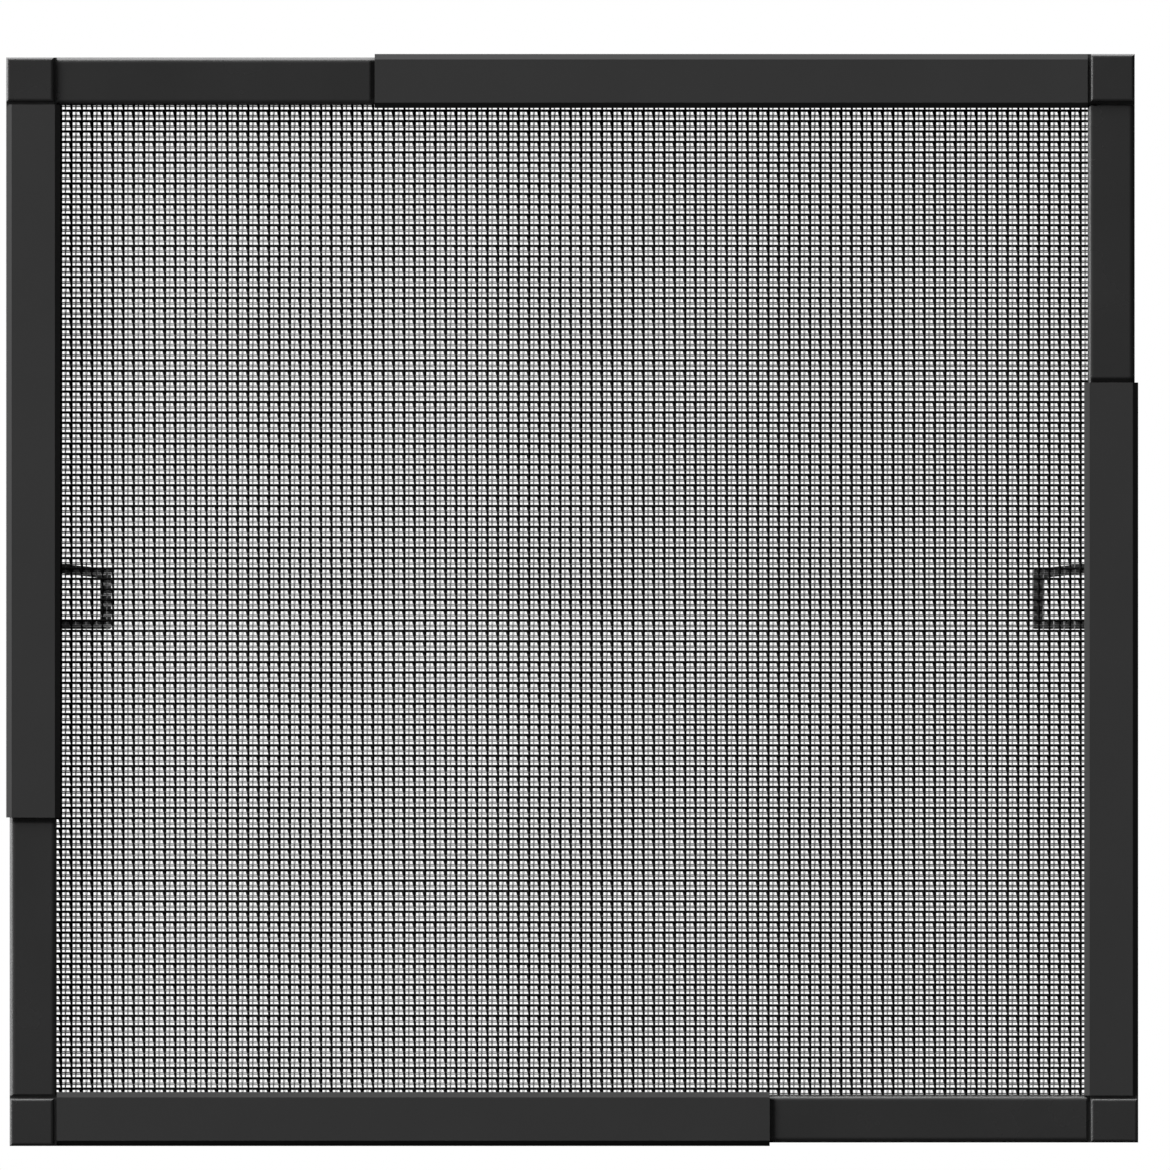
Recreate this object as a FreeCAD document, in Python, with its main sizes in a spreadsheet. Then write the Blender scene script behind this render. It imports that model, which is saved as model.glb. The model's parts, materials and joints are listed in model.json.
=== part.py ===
import FreeCAD, Part
import os
import Sketcher

# An adjustable window screen. Each side has a wide outer rail and a narrow inner rail that
# telescopes in it. Corner keys join the sides, and an insect net is held behind the rails.
# X runs along the width, Y from the front to the back, and Z is up.
# Sizes are in millimetres.

DRIVING_SIZES = [
    ("span_x", 539.0, "between the centre lines of the side rails"),
    ("span_z", 519.0, "between the centre lines of the top and bottom rails"),
    ("outer_length", 356.5, "length of an outer rail"),
    ("outer_width", 27.0, "width of an outer rail, seen from the front"),
    ("outer_depth", 11.0, "depth of an outer rail, front to back"),
    ("outer_bevel", 2.7, "bevel along an outer rail's front edges"),
    ("outer_wall", 1.4, "wall of an outer rail"),
    ("edge_break", 0.5, "small bevel along an outer rail's back edges"),
    ("slot_width", 11.0, "slot along an outer rail's back"),
    ("slide_gap", 0.35, "running clearance between an inner and an outer rail"),
    ("inner_length", 270.0, "length of an inner rail"),
    ("inner_wall", 1.4, "wall of an inner rail"),
    ("end_break", 0.8, "bevel at an inner rail's end, beside its corner key"),
    ("corner_proud", 0.6, "how far a corner key stands in front of the outer rails"),
    ("corner_round", 1.8, "rounding along a corner key's front edges"),
    ("corner_wall", 2.0, "wall round the hollow in a corner key's back"),
    ("corner_floor", 5.0, "front wall of a corner key"),
    ("groove_width", 1.4, "groove between a corner key's face and a rail"),
    ("groove_depth", 1.5, "depth of that groove below the rail's front"),
    ("corner_rib", 1.6, "diagonal rib across the hollow"),
    ("outer_leg", 42.0, "leg of a corner key in an outer rail"),
    ("inner_leg", 34.0, "leg of a corner key in an inner rail"),
    ("leg_fit", 0.15, "clearance between a leg and its rail"),
    ("leg_taper", 1.4, "bevel round a leg's tip"),
    ("leg_web", 1.8, "walls and ribs of an outer leg"),
    ("leg_pockets", 3, "hollows along an outer leg"),
    ("fork_width", 6.0, "slot between the two prongs of an inner leg"),
    ("fork_root", 9.0, "unslotted stretch of an inner leg"),
    ("tape_thick", 1.2, "hook tape on the rails' backs"),
    ("tape_margin", 0.5, "bare edge beside a tape"),
    ("tape_inset", 4.0, "bare stretch at a tape's ends"),
    ("hem_width", 16.5, "binding sewn round the net"),
    ("hem_thick", 1.6, "folded binding, front to back"),
    ("hem_reach", 5.5, "how far the binding passes the rails' centre lines"),
    ("hem_slot", 8.0, "how deep the net goes into the binding"),
    ("net_fit", 0.1, "clearance between the net and the binding"),
    ("net_thick", 0.4, "wall of the net"),
    ("net_ridge", 0.15, "height of a cord of the net above its wall"),
    ("net_cord", 1.3, "width of a cord of the net"),
    ("net_band", 4.0, "band between two gaps of the net"),
    ("net_columns", 12, "gaps across the net"),
    ("net_rows", 10, "gaps down the net"),
    ("tab_reach", 25.5, "how far a pull tab passes the rail's inner edge"),
    ("tab_height", 30.0, "height of a pull tab at its crossbar"),
    ("tab_rise", 4.6, "slope of a pull tab's upper arm, to its root"),
    ("tab_lift", 0.5, "middle of the crossbar above the middle of the screen"),
    ("tab_arm", 4.5, "width of a pull tab's arms"),
    ("tab_bar", 5.5, "width of a pull tab's crossbar"),
    ("tab_thick", 1.5, "thickness of a pull tab's loop"),
    ("tab_round", 1.0, "rounding of the loop's corners"),
    ("tab_gap", 0.3, "clearance between the binding and a pull tab"),
    ("pad_thick", 0.8, "adhesive pad under a pull tab"),
    ("pad_margin", 0.5, "bare edge beside a pull tab and round its pad"),
]

doc = FreeCAD.newDocument("WindowScreen")
sheet = doc.addObject("Spreadsheet::Sheet", "Sizes")
for row, (alias, value, meaning) in enumerate(DRIVING_SIZES, start=1):
    sheet.set(f"A{row}", meaning)
    sheet.set(f"B{row}", str(value))
    sheet.setAlias(f"B{row}", alias)
doc.recompute()

# Depths, as expressions, from the rails' middle plane.
FRONT = "(-Sizes.outer_depth / 2)"
BACK = "(Sizes.outer_depth / 2)"
SHELL = "(Sizes.outer_wall + Sizes.slide_gap)"
INNER_FRONT = f"({FRONT} + {SHELL})"
INNER_BACK = f"({BACK} - {SHELL})"
KEY_FRONT = f"({FRONT} - Sizes.corner_proud)"
OUTER_GROOVE = "(Sizes.corner_proud + Sizes.groove_depth)"
INNER_GROOVE = f"({OUTER_GROOVE} + {SHELL})"
TAPE_BACK = f"({BACK} + Sizes.tape_thick)"
HEM_BACK = f"({TAPE_BACK} + Sizes.hem_thick)"
NET_MIDDLE = f"({TAPE_BACK} + Sizes.hem_thick / 2)"
NET_FRONT = f"({NET_MIDDLE} - Sizes.net_thick / 2)"
NET_BACK = f"({NET_MIDDLE} + Sizes.net_thick / 2)"
TAB_FRONT = f"({HEM_BACK} + Sizes.tab_gap)"
TAB_BACK = f"({TAB_FRONT} + Sizes.tab_thick)"
PAD_BACK = f"({BACK} + Sizes.pad_thick)"
# The rails' middle plane stands here, so that the origin is the middle of the whole screen.
RAIL_Y = f"(-({KEY_FRONT} + {TAB_BACK}) / 2)"

# Half widths of the nested rails, from their centre line.
HALF_OUTER = "(Sizes.outer_width / 2)"
HALF_BORE = f"({HALF_OUTER} - Sizes.outer_wall)"
HALF_INNER = f"({HALF_OUTER} - {SHELL})"
HALF_SLOT = "(Sizes.slot_width / 2)"
HALF_LAND = f"({HALF_SLOT} - Sizes.slide_gap)"
# The outer rail's wall is even round its bevel, and the inner rail's rounding keeps the running
# clearance to it. The inner rail's wall is even round that rounding.
BORE_BEVEL = "max(0.2; Sizes.outer_bevel - Sizes.outer_wall * (2 - sqrt(2)))"
ROUND_REACH = "(sqrt(2) - 1)"
INNER_ROUND = f"max(0.4; {BORE_BEVEL} / sqrt(2) / {ROUND_REACH} - Sizes.slide_gap)"
BORE_ROUND = f"max(0.2; {INNER_ROUND} - Sizes.inner_wall)"
# A corner key's rounding ends above the shallower of its grooves.
KEY_ROUND = f"min(Sizes.corner_round; 0.9 * {OUTER_GROOVE})"


class Side:
    """One side of the screen, drawn as the top one and turned to its place.

    In its own frame a side runs along X, with the inner rail at the low end and the outer rail
    at the high end. The four sides follow each other round the screen like a pinwheel.
    """

    def __init__(self, name, corner, turn, run, across):
        self.name = name
        self.corner = corner
        self.turn = turn
        self.half_run = f"({run} / 2)"
        self.reach = f"({across} / 2)"
        self.shoulder = f"({self.half_run} - {HALF_INNER})"
        self.mouth = f"({self.shoulder} - Sizes.outer_length)"


SIDES = [
    Side("top", "top_left", 0, "Sizes.span_x", "Sizes.span_z"),
    Side("right", "top_right", 90, "Sizes.span_z", "Sizes.span_x"),
    Side("bottom", "bottom_right", 180, "Sizes.span_x", "Sizes.span_z"),
    Side("left", "bottom_left", 270, "Sizes.span_z", "Sizes.span_x"),
]

pieces = []


def size(expression):
    """The present value of an expression, in millimetres."""
    return float(sheet.evalExpression(expression.replace("Sizes.", "")))


def new_body(label, turn=0):
    """An empty sub-part, turned about Y to its side and set to the screen's middle depth."""
    body = doc.addObject("PartDesign::Body", label)
    body.Label = label
    body.Placement.Rotation = FreeCAD.Rotation(FreeCAD.Vector(0, 1, 0), turn)
    body.setExpression("Placement.Base.y", RAIL_Y)
    pieces.append(body)
    return body


def new_sketch(body, name, plane, shift):
    """A sketch on one of the body's origin planes, moved by three expressions in that plane."""
    sketch = body.newObject("Sketcher::SketchObject", name)
    support = [feature for feature in body.Origin.OriginFeatures if feature.Role == plane]
    sketch.AttachmentSupport = [(support[0], "")]
    sketch.MapMode = "FlatFace"
    for axis, expression in zip("xyz", shift):
        sketch.setExpression(f"AttachmentOffset.Base.{axis}", expression)
    return sketch


def add_loop(sketch, corners):
    """Draw a closed outline of straight edges, each corner bound to two expressions."""
    first = sketch.GeometryCount
    count = len(corners)
    points = [FreeCAD.Vector(size(across), size(up), 0) for across, up in corners]
    for index, point in enumerate(points):
        sketch.addGeometry(Part.LineSegment(point, points[(index + 1) % count]), False)
    for index in range(count):
        following = first + (index + 1) % count
        sketch.addConstraint(Sketcher.Constraint("Coincident", first + index, 2, following, 1))
    for index, (corner, point) in enumerate(zip(corners, points)):
        for kind, expression, value in zip(("DistanceX", "DistanceY"), corner, point):
            bound = Sketcher.Constraint(kind, -1, 1, first + index, 1, value)
            number = sketch.addConstraint(bound)
            sketch.setExpression(f"Constraints[{number}]", expression)


def rectangle(low_across, high_across, low_up, high_up):
    """The four corners of an upright rectangle."""
    return [
        (low_across, low_up),
        (high_across, low_up),
        (high_across, high_up),
        (low_across, high_up),
    ]


def add_pad(body, sketch, name, length, reverse=False):
    """Raise a sketch into solid material."""
    pad = body.newObject("PartDesign::Pad", name)
    pad.Profile = sketch
    pad.Reversed = reverse
    pad.setExpression("Length", length)
    doc.recompute()
    return pad


def add_pocket(body, sketch, name, depth, reverse=False):
    """Cut a sketch into the body, and stop if nothing was cut."""
    before = body.Shape.Volume
    pocket = body.newObject("PartDesign::Pocket", name)
    pocket.Profile = sketch
    pocket.Reversed = reverse
    pocket.setExpression("Length", depth)
    doc.recompute()
    if body.Shape.Volume >= before:
        raise RuntimeError(f"{body.Label}: {name} cuts nothing")
    return pocket


def add_row(body, feature, name, sketch, steps, reverse=False):
    """Repeat a feature along one or two of its sketch's axes.

    Each step is an axis of the sketch, a spread and a count.
    """
    row = body.newObject("PartDesign::LinearPattern", name)
    row.Originals = [feature]
    for ending, (axis, spread, count) in zip(("", "2"), steps):
        setattr(row, "Direction" + ending, (sketch, [axis]))
        setattr(row, "Reversed" + ending, reverse)
        row.setExpression("Length" + ending, spread)
        row.setExpression("Occurrences" + ending, count)
    body.Tip = row
    doc.recompute()
    return row


def dress_edges(body, kind, name, choose, amount):
    """Round or bevel the edges of the body's last feature that the test chooses."""
    base = body.Tip
    chosen = [f"Edge{n}" for n, edge in enumerate(base.Shape.Edges, start=1) if choose(edge)]
    feature = body.newObject(f"PartDesign::{kind}", name)
    feature.Base = (base, chosen)
    feature.setExpression("Radius" if kind == "Fillet" else "Size", amount)
    doc.recompute()
    return feature


def lies_at(edge, axis, expression):
    """True for an edge that lies wholly at one value along an axis."""
    place = size(expression)
    box = edge.BoundBox
    ends = (getattr(box, axis + "Min"), getattr(box, axis + "Max"))
    return all(abs(end - place) < 1e-4 for end in ends)


def round_long_edges(body, name, depth, radius):
    """Round the edges that run along a side at one depth."""

    def along_side(edge):
        box = edge.BoundBox
        return lies_at(edge, "Y", depth) and box.ZLength < 1e-4 and box.XLength > 1e-4

    dress_edges(body, "Fillet", name, along_side, radius)


def add_length(label, side, loops, start, length):
    """A straight piece of one section along a side: loops hold (depth, across) corners."""
    body = new_body(label, side.turn)
    section = new_sketch(body, "Section", "YZ_Plane", ("0", side.reach, start))
    for loop in loops:
        add_loop(section, loop)
    add_pad(body, section, "Length", length)
    return body


def add_outer_rail(side):
    """A channel with bevelled front edges and a slot between two lips at its back."""
    bore_front = f"({FRONT} + Sizes.outer_wall)"
    lip = f"({BACK} - Sizes.outer_wall)"
    edge = f"({HALF_OUTER} - Sizes.edge_break)"
    half = [
        (FRONT, f"({HALF_OUTER} - Sizes.outer_bevel)"),
        (f"({FRONT} + Sizes.outer_bevel)", HALF_OUTER),
        (f"({BACK} - Sizes.edge_break)", HALF_OUTER),
        (BACK, edge),
        (BACK, HALF_SLOT),
        (lip, HALF_SLOT),
        (lip, HALF_BORE),
        (f"({bore_front} + {BORE_BEVEL})", HALF_BORE),
        (bore_front, f"({HALF_BORE} - {BORE_BEVEL})"),
    ]
    mirrored = [(depth, f"-{across}") for depth, across in reversed(half)]
    add_length(f"{side.name}_outer_rail", side, [half + mirrored], side.mouth, "Sizes.outer_length")


def add_inner_rail(side):
    """A tube with rounded front edges, and a land at its back that fills the outer rail's slot."""
    half = [
        (INNER_FRONT, HALF_INNER),
        (INNER_BACK, HALF_INNER),
        (INNER_BACK, HALF_LAND),
        (BACK, HALF_LAND),
    ]
    mirrored = [(depth, f"-{across}") for depth, across in reversed(half)]
    half_bore = f"({HALF_INNER} - Sizes.inner_wall)"
    bore_front = f"({INNER_FRONT} + Sizes.inner_wall)"
    bore_back = f"({INNER_BACK} - Sizes.inner_wall)"
    bore = rectangle(bore_front, bore_back, f"-{half_bore}", half_bore)
    start = f"-{side.shoulder}"
    label = f"{side.name}_inner_rail"
    body = add_length(label, side, [half + mirrored, bore], start, "Sizes.inner_length")

    def front_end_edge(edge):
        return lies_at(edge, "Y", INNER_FRONT) and lies_at(edge, "X", start)

    dress_edges(body, "Chamfer", "EndBreak", front_end_edge, "Sizes.end_break")
    round_long_edges(body, "FrontRounding", INNER_FRONT, INNER_ROUND)
    round_long_edges(body, "BoreRounding", bore_front, BORE_ROUND)


def add_corner_key(side):
    """A moulded corner at the low end of a side, with a leg in each of its two rails."""
    body = new_body(f"{side.corner}_corner", side.turn)
    centre = (f"-{side.half_run}", side.reach)

    # The block is flush with the outer rail at one side and with the inner rails elsewhere.
    block = new_sketch(body, "Block", "XZ_Plane", (*centre, f"-{BACK}"))
    add_loop(block, rectangle(f"-{HALF_OUTER}", HALF_INNER, f"-{HALF_INNER}", HALF_INNER))
    add_pad(body, block, "BlockDepth", f"{BACK} - {KEY_FRONT}")

    # A groove along each rail sets off the key's face, and the face is rounded all round.
    groove_x = f"({HALF_INNER} - Sizes.groove_width)"
    groove_z = f"(Sizes.groove_width - {HALF_INNER})"
    beside_outer = rectangle(f"-{HALF_OUTER}", HALF_INNER, f"-{HALF_INNER}", groove_z)
    beside_inner = rectangle(groove_x, HALF_INNER, f"-{HALF_INNER}", HALF_INNER)
    grooves = [("Outer", beside_outer, OUTER_GROOVE), ("Inner", beside_inner, INNER_GROOVE)]
    for rail, outline, depth in grooves:
        groove = new_sketch(body, f"{rail}Groove", "XZ_Plane", (*centre, f"-{KEY_FRONT}"))
        add_loop(groove, outline)
        add_pocket(body, groove, f"{rail}GrooveDepth", depth)
    dress_edges(body, "Fillet", "FrontRounding", lambda edge: lies_at(edge, "Y", KEY_FRONT), KEY_ROUND)

    # Two three-sided hollows in the back leave a diagonal rib between them.
    low_x = f"(Sizes.corner_wall - {HALF_OUTER})"
    low_z = f"(Sizes.corner_wall - {HALF_INNER})"
    high = f"({HALF_INNER} - Sizes.corner_wall)"
    rib = "(Sizes.corner_rib * sqrt(2))"
    hollow = new_sketch(body, "Hollow", "XZ_Plane", (*centre, f"-{BACK}"))
    add_loop(hollow, [(low_x, low_z), (f"({high} - {rib})", low_z), (low_x, f"({high} - {rib})")])
    add_loop(hollow, [(high, high), (f"({low_x} + {rib})", high), (high, f"({low_z} + {rib})")])
    hollow_depth = f"({BACK} - {KEY_FRONT} - Sizes.corner_floor)"
    add_pocket(body, hollow, "HollowDepth", hollow_depth, reverse=True)

    add_outer_leg(body, side)
    add_inner_leg(body, side)


def add_outer_leg(body, side):
    """The leg that fills the channel of the outer rail of the side before this one."""
    shoulder = f"({side.reach} - {HALF_INNER})"
    tip = f"({shoulder} - Sizes.outer_leg)"
    half = f"({HALF_BORE} - Sizes.leg_fit)"
    front = f"({FRONT} + Sizes.outer_wall + Sizes.leg_fit)"
    back = f"({BACK} - Sizes.outer_wall - Sizes.leg_fit)"
    section = new_sketch(body, "OuterLeg", "XY_Plane", (f"-{side.half_run}", "0", shoulder))
    flank = [(half, back), (half, f"({front} + {BORE_BEVEL})"), (f"({half} - {BORE_BEVEL})", front)]
    mirrored = [(f"-{across}", depth) for across, depth in reversed(flank)]
    add_loop(section, flank + mirrored)
    add_pad(body, section, "OuterLegLength", "Sizes.outer_leg", reverse=True)
    dress_edges(body, "Chamfer", "OuterLegTip", lambda edge: lies_at(edge, "Z", tip), "Sizes.leg_taper")

    # A row of hollows in the leg's back, with ribs between them.
    half_hollow = f"({half} - Sizes.leg_web)"
    usable = "(Sizes.outer_leg - Sizes.leg_taper - Sizes.leg_web)"
    step = f"({usable} / Sizes.leg_pockets)"
    top = f"({shoulder} - Sizes.leg_web)"
    pocket = new_sketch(body, "LegHollow", "XZ_Plane", (f"-{side.half_run}", top, f"-{back}"))
    add_loop(pocket, rectangle(f"-{half_hollow}", half_hollow, f"(Sizes.leg_web - {step})", "0"))
    depth = f"({back} - {front} - Sizes.leg_web)"
    cut = add_pocket(body, pocket, "LegHollowDepth", depth, reverse=True)
    spread = f"{step} * (Sizes.leg_pockets - 1)"
    add_row(body, cut, "LegHollows", pocket, [("V_Axis", spread, "Sizes.leg_pockets")], reverse=True)


def add_inner_leg(body, side):
    """The forked leg that fills the tube of this side's inner rail."""
    shoulder = f"(-{side.shoulder})"
    tip = f"({shoulder} + Sizes.inner_leg)"
    half = f"({HALF_INNER} - Sizes.inner_wall - Sizes.leg_fit)"
    front = f"({INNER_FRONT} + Sizes.inner_wall + Sizes.leg_fit)"
    back = f"({INNER_BACK} - Sizes.inner_wall - Sizes.leg_fit)"
    section = new_sketch(body, "InnerLeg", "YZ_Plane", ("0", side.reach, shoulder))
    add_loop(section, rectangle(front, back, f"-{half}", half))
    add_pad(body, section, "InnerLegLength", "Sizes.inner_leg")
    round_long_edges(body, "InnerLegRounding", front, BORE_ROUND)
    taper = f"min(Sizes.leg_taper; ({back} - {front}) / 3)"
    dress_edges(body, "Chamfer", "InnerLegTip", lambda edge: lies_at(edge, "X", tip), taper)

    # The slot leaves two prongs that spring together as the leg goes in.
    half_slot = "(Sizes.fork_width / 2)"
    slot = new_sketch(body, "Fork", "XZ_Plane", (shoulder, side.reach, f"-{back}"))
    add_loop(slot, rectangle("Sizes.fork_root", "Sizes.inner_leg", f"-{half_slot}", half_slot))
    add_pocket(body, slot, "ForkDepth", f"{back} - {front}", reverse=True)


def add_tapes(side):
    """Hook tape on the outer rail's lip beside the net, and on the inner rail's land."""
    lip_low = f"(Sizes.tape_margin - {HALF_OUTER})"
    lip_high = f"(-{HALF_SLOT} - Sizes.tape_margin)"
    on_outer = rectangle(BACK, TAPE_BACK, lip_low, lip_high)
    start = f"({side.mouth} + Sizes.tape_inset)"
    length = "(Sizes.outer_length - 2 * Sizes.tape_inset)"
    add_length(f"{side.name}_outer_tape", side, [on_outer], start, length)

    half = f"({HALF_LAND} - Sizes.tape_margin)"
    on_inner = rectangle(BACK, TAPE_BACK, f"-{half}", half)
    start = f"(Sizes.tape_inset - {side.shoulder})"
    length = f"({side.mouth} + {side.shoulder} - 2 * Sizes.tape_inset)"
    add_length(f"{side.name}_inner_tape", side, [on_inner], start, length)


def add_hem(side):
    """Folded binding along one edge of the net, open towards the net."""
    outside = "Sizes.hem_reach"
    inside = "(Sizes.hem_reach - Sizes.hem_width)"
    fold = f"({inside} + Sizes.hem_slot)"
    half_slot = "(Sizes.net_thick / 2 + Sizes.net_ridge + Sizes.net_fit)"
    slot_front = f"({NET_MIDDLE} - {half_slot})"
    slot_back = f"({NET_MIDDLE} + {half_slot})"
    folded = [
        (TAPE_BACK, outside),
        (TAPE_BACK, inside),
        (slot_front, inside),
        (slot_front, fold),
        (slot_back, fold),
        (slot_back, inside),
        (HEM_BACK, inside),
        (HEM_BACK, outside),
    ]
    start = f"(-{side.half_run} - Sizes.hem_reach)"
    length = f"(2 * {side.half_run} + 2 * Sizes.hem_reach - Sizes.hem_width)"
    add_length(f"{side.name}_hem", side, [folded], start, length)


def add_net():
    """One thin wall with rows of gaps, and cords that stand up along the bands between them."""
    body = new_body("net")
    margin = "(Sizes.hem_reach - Sizes.hem_width + Sizes.hem_slot - Sizes.net_fit)"
    half_x = f"(Sizes.span_x / 2 + {margin})"
    half_z = f"(Sizes.span_z / 2 + {margin})"
    wall = new_sketch(body, "Wall", "XZ_Plane", ("0", "0", f"-{NET_BACK}"))
    add_loop(wall, rectangle(f"-{half_x}", half_x, f"-{half_z}", half_z))
    add_pad(body, wall, "WallThickness", "Sizes.net_thick")

    # From one band to the next, and from the first band to the last.
    spread_x = f"(2 * {half_x} - Sizes.net_band)"
    spread_z = f"(2 * {half_z} - Sizes.net_band)"
    step_x = f"({spread_x} / Sizes.net_columns)"
    step_z = f"({spread_z} / Sizes.net_rows)"
    low_x = f"(Sizes.net_band - {half_x})"
    low_z = f"(Sizes.net_band - {half_z})"
    gap = new_sketch(body, "Gap", "XZ_Plane", (low_x, low_z, f"-{NET_BACK}"))
    add_loop(gap, rectangle("0", f"({step_x} - Sizes.net_band)", "0", f"({step_z} - Sizes.net_band)"))
    cut = add_pocket(body, gap, "GapDepth", "Sizes.net_thick", reverse=True)
    steps = [
        ("H_Axis", f"{spread_x} - {step_x}", "Sizes.net_columns"),
        ("V_Axis", f"{spread_z} - {step_z}", "Sizes.net_rows"),
    ]
    add_row(body, cut, "Gaps", gap, steps)

    # Upright cords on the front of the wall, level ones on its back.
    middle = "(Sizes.net_band / 2)"
    half_cord = "(Sizes.net_cord / 2)"
    upright = new_sketch(body, "UprightCord", "XZ_Plane", (f"({middle} - {half_x})", "0", f"-{NET_FRONT}"))
    add_loop(upright, rectangle(f"-{half_cord}", half_cord, f"-{half_z}", half_z))
    cord = add_pad(body, upright, "UprightCordHeight", "Sizes.net_ridge")
    add_row(body, cord, "UprightCords", upright, [("H_Axis", spread_x, "Sizes.net_columns + 1")])
    level = new_sketch(body, "LevelCord", "XZ_Plane", ("0", f"({middle} - {half_z})", f"-{NET_BACK}"))
    add_loop(level, rectangle(f"-{half_x}", half_x, f"-{half_cord}", half_cord))
    cord = add_pad(body, level, "LevelCordHeight", "Sizes.net_ridge", reverse=True)
    add_row(body, cord, "LevelCords", level, [("V_Axis", spread_z, "Sizes.net_rows + 1")])


def add_pull_tab(name, sign):
    """A finger loop behind the net, on a foot that an adhesive pad holds to the rail's outside lip."""
    rail = "Sizes.span_x / 2"
    foot_near = f"({sign}({rail} + {HALF_SLOT} + Sizes.pad_margin))"
    foot_far = f"({sign}({rail} + {HALF_OUTER} - Sizes.pad_margin))"
    tip = f"({sign}({rail} - {HALF_OUTER} - Sizes.tab_reach))"
    bar = f"({sign}({rail} - {HALF_OUTER} - Sizes.tab_reach + Sizes.tab_bar))"
    bottom = "(Sizes.tab_lift - Sizes.tab_height / 2)"
    top = "(Sizes.tab_lift + Sizes.tab_height / 2)"
    root = f"({top} + Sizes.tab_rise)"
    over_bottom = f"({bottom} + Sizes.tab_arm)"
    under_top = f"({top} - Sizes.tab_arm)"

    body = new_body(f"{name}_pull_tab")
    foot = new_sketch(body, "Foot", "XZ_Plane", ("0", "0", f"-{TAB_BACK}"))
    add_loop(foot, rectangle(foot_near, foot_far, bottom, root))
    add_pad(body, foot, "FootThickness", f"{TAB_BACK} - {PAD_BACK}")
    loop = new_sketch(body, "Loop", "XZ_Plane", ("0", "0", f"-{TAB_BACK}"))
    outline = [
        (foot_far, bottom),
        (tip, bottom),
        (tip, top),
        (foot_near, root),
        (foot_far, root),
        (foot_far, f"({root} - Sizes.tab_arm)"),
        (foot_near, f"({root} - Sizes.tab_arm)"),
        (bar, under_top),
        (bar, over_bottom),
        (foot_far, over_bottom),
    ]
    add_loop(loop, outline)
    add_pad(body, loop, "LoopThickness", "Sizes.tab_thick")

    def bar_corner(edge):
        upright = edge.BoundBox.YLength > size("Sizes.tab_thick") / 2
        return upright and lies_at(edge, "X", tip)

    dress_edges(body, "Fillet", "BarRounding", bar_corner, "Sizes.tab_round")

    pad = new_body(f"{name}_tab_pad")
    inset = f"({sign}Sizes.pad_margin)"
    outline = rectangle(
        f"({foot_near} + {inset})",
        f"({foot_far} - {inset})",
        f"({bottom} + Sizes.pad_margin)",
        f"({root} - Sizes.pad_margin)",
    )
    sketch = new_sketch(pad, "Pad", "XZ_Plane", ("0", "0", f"-{PAD_BACK}"))
    add_loop(sketch, outline)
    add_pad(pad, sketch, "PadThickness", "Sizes.pad_thick")


for side in SIDES:
    add_outer_rail(side)
    add_inner_rail(side)
    add_corner_key(side)
    add_tapes(side)
    add_hem(side)
add_net()
add_pull_tab("left", "-")
add_pull_tab("right", "")
doc.recompute()

failed = [item.Name for item in doc.Objects if {"Invalid", "Error"} & set(item.State)]
if failed:
    raise RuntimeError(f"not built: {failed}")
for piece in pieces:
    shape = piece.Shape
    if shape.isNull() or not shape.isValid() or len(shape.Solids) != 1:
        raise RuntimeError(f"{piece.Label}: not one valid solid")

os.makedirs("parts", exist_ok=True)
for piece in pieces:
    piece.Shape.exportStep(f"parts/{piece.Label}.step")
    print(f"{piece.Label}: {piece.Shape.Volume / 1000:.3f} cubic centimetres")
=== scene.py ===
"""Adjustable window screen: finishes, net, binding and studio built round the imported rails."""

import json
import logging
import math
from dataclasses import dataclass, field
from enum import Enum

import bmesh
import bpy
from mathutils import Matrix, Vector


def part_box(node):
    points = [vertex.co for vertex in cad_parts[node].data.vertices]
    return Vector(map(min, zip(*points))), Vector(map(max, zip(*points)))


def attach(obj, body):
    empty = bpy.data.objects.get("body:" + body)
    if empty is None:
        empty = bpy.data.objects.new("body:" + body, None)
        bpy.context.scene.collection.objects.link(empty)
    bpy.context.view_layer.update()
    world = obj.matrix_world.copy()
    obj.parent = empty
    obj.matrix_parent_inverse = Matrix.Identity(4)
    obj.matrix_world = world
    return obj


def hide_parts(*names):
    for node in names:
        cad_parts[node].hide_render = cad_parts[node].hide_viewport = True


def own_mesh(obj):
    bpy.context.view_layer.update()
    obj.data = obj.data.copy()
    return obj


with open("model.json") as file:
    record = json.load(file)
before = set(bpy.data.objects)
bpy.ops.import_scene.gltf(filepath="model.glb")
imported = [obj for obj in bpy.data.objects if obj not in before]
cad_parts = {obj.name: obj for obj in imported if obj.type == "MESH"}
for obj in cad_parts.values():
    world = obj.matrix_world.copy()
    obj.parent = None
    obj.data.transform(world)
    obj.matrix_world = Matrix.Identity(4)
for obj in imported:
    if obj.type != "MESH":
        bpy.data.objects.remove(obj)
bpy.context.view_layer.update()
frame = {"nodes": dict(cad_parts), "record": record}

LOG = logging.getLogger("window_screen")
MM = 0.001
HAIR = 1e-6
HALF_TURN = math.pi
WIDTH_TRAVEL = 150.0 * MM
HEIGHT_TRAVEL = 130.0 * MM
WHITE = (1.0, 1.0, 1.0, 1.0)
MIX_SHARE, MIX_FIRST, MIX_SECOND, MIX_RESULT = 0, 6, 7, 2

Colour = tuple[float, float, float]


class Way(Enum):
    """The way a thread or a strip runs, as the number of its axis."""

    ACROSS = 0
    DOWN = 2

    @property
    def other(self) -> "Way":
        """The way at right angles to this one."""
        return Way.DOWN if self is Way.ACROSS else Way.ACROSS

    def point(self, along: float, aside: float, depth: float) -> Vector:
        """Places a point given along and beside this way.

        Args:
            along: Distance on this way's own axis, in metres.
            aside: Distance on the other way's axis, in metres.
            depth: Distance from front to back, in metres.

        Returns:
            The point in the screen's frame.
        """
        spot = Vector((0.0, depth, 0.0))
        spot[self.value] = along
        spot[self.other.value] = aside
        return spot


class Half(Enum):
    """Upper or lower half of the net, each carried by its own corner of the frame."""

    UPPER = "upper_left"
    LOWER = "lower_left"


class Ply(Enum):
    """Which of the net's two yarns a thread is of, as the number of its finish."""

    BLACK = 0
    GREY = 1


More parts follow.
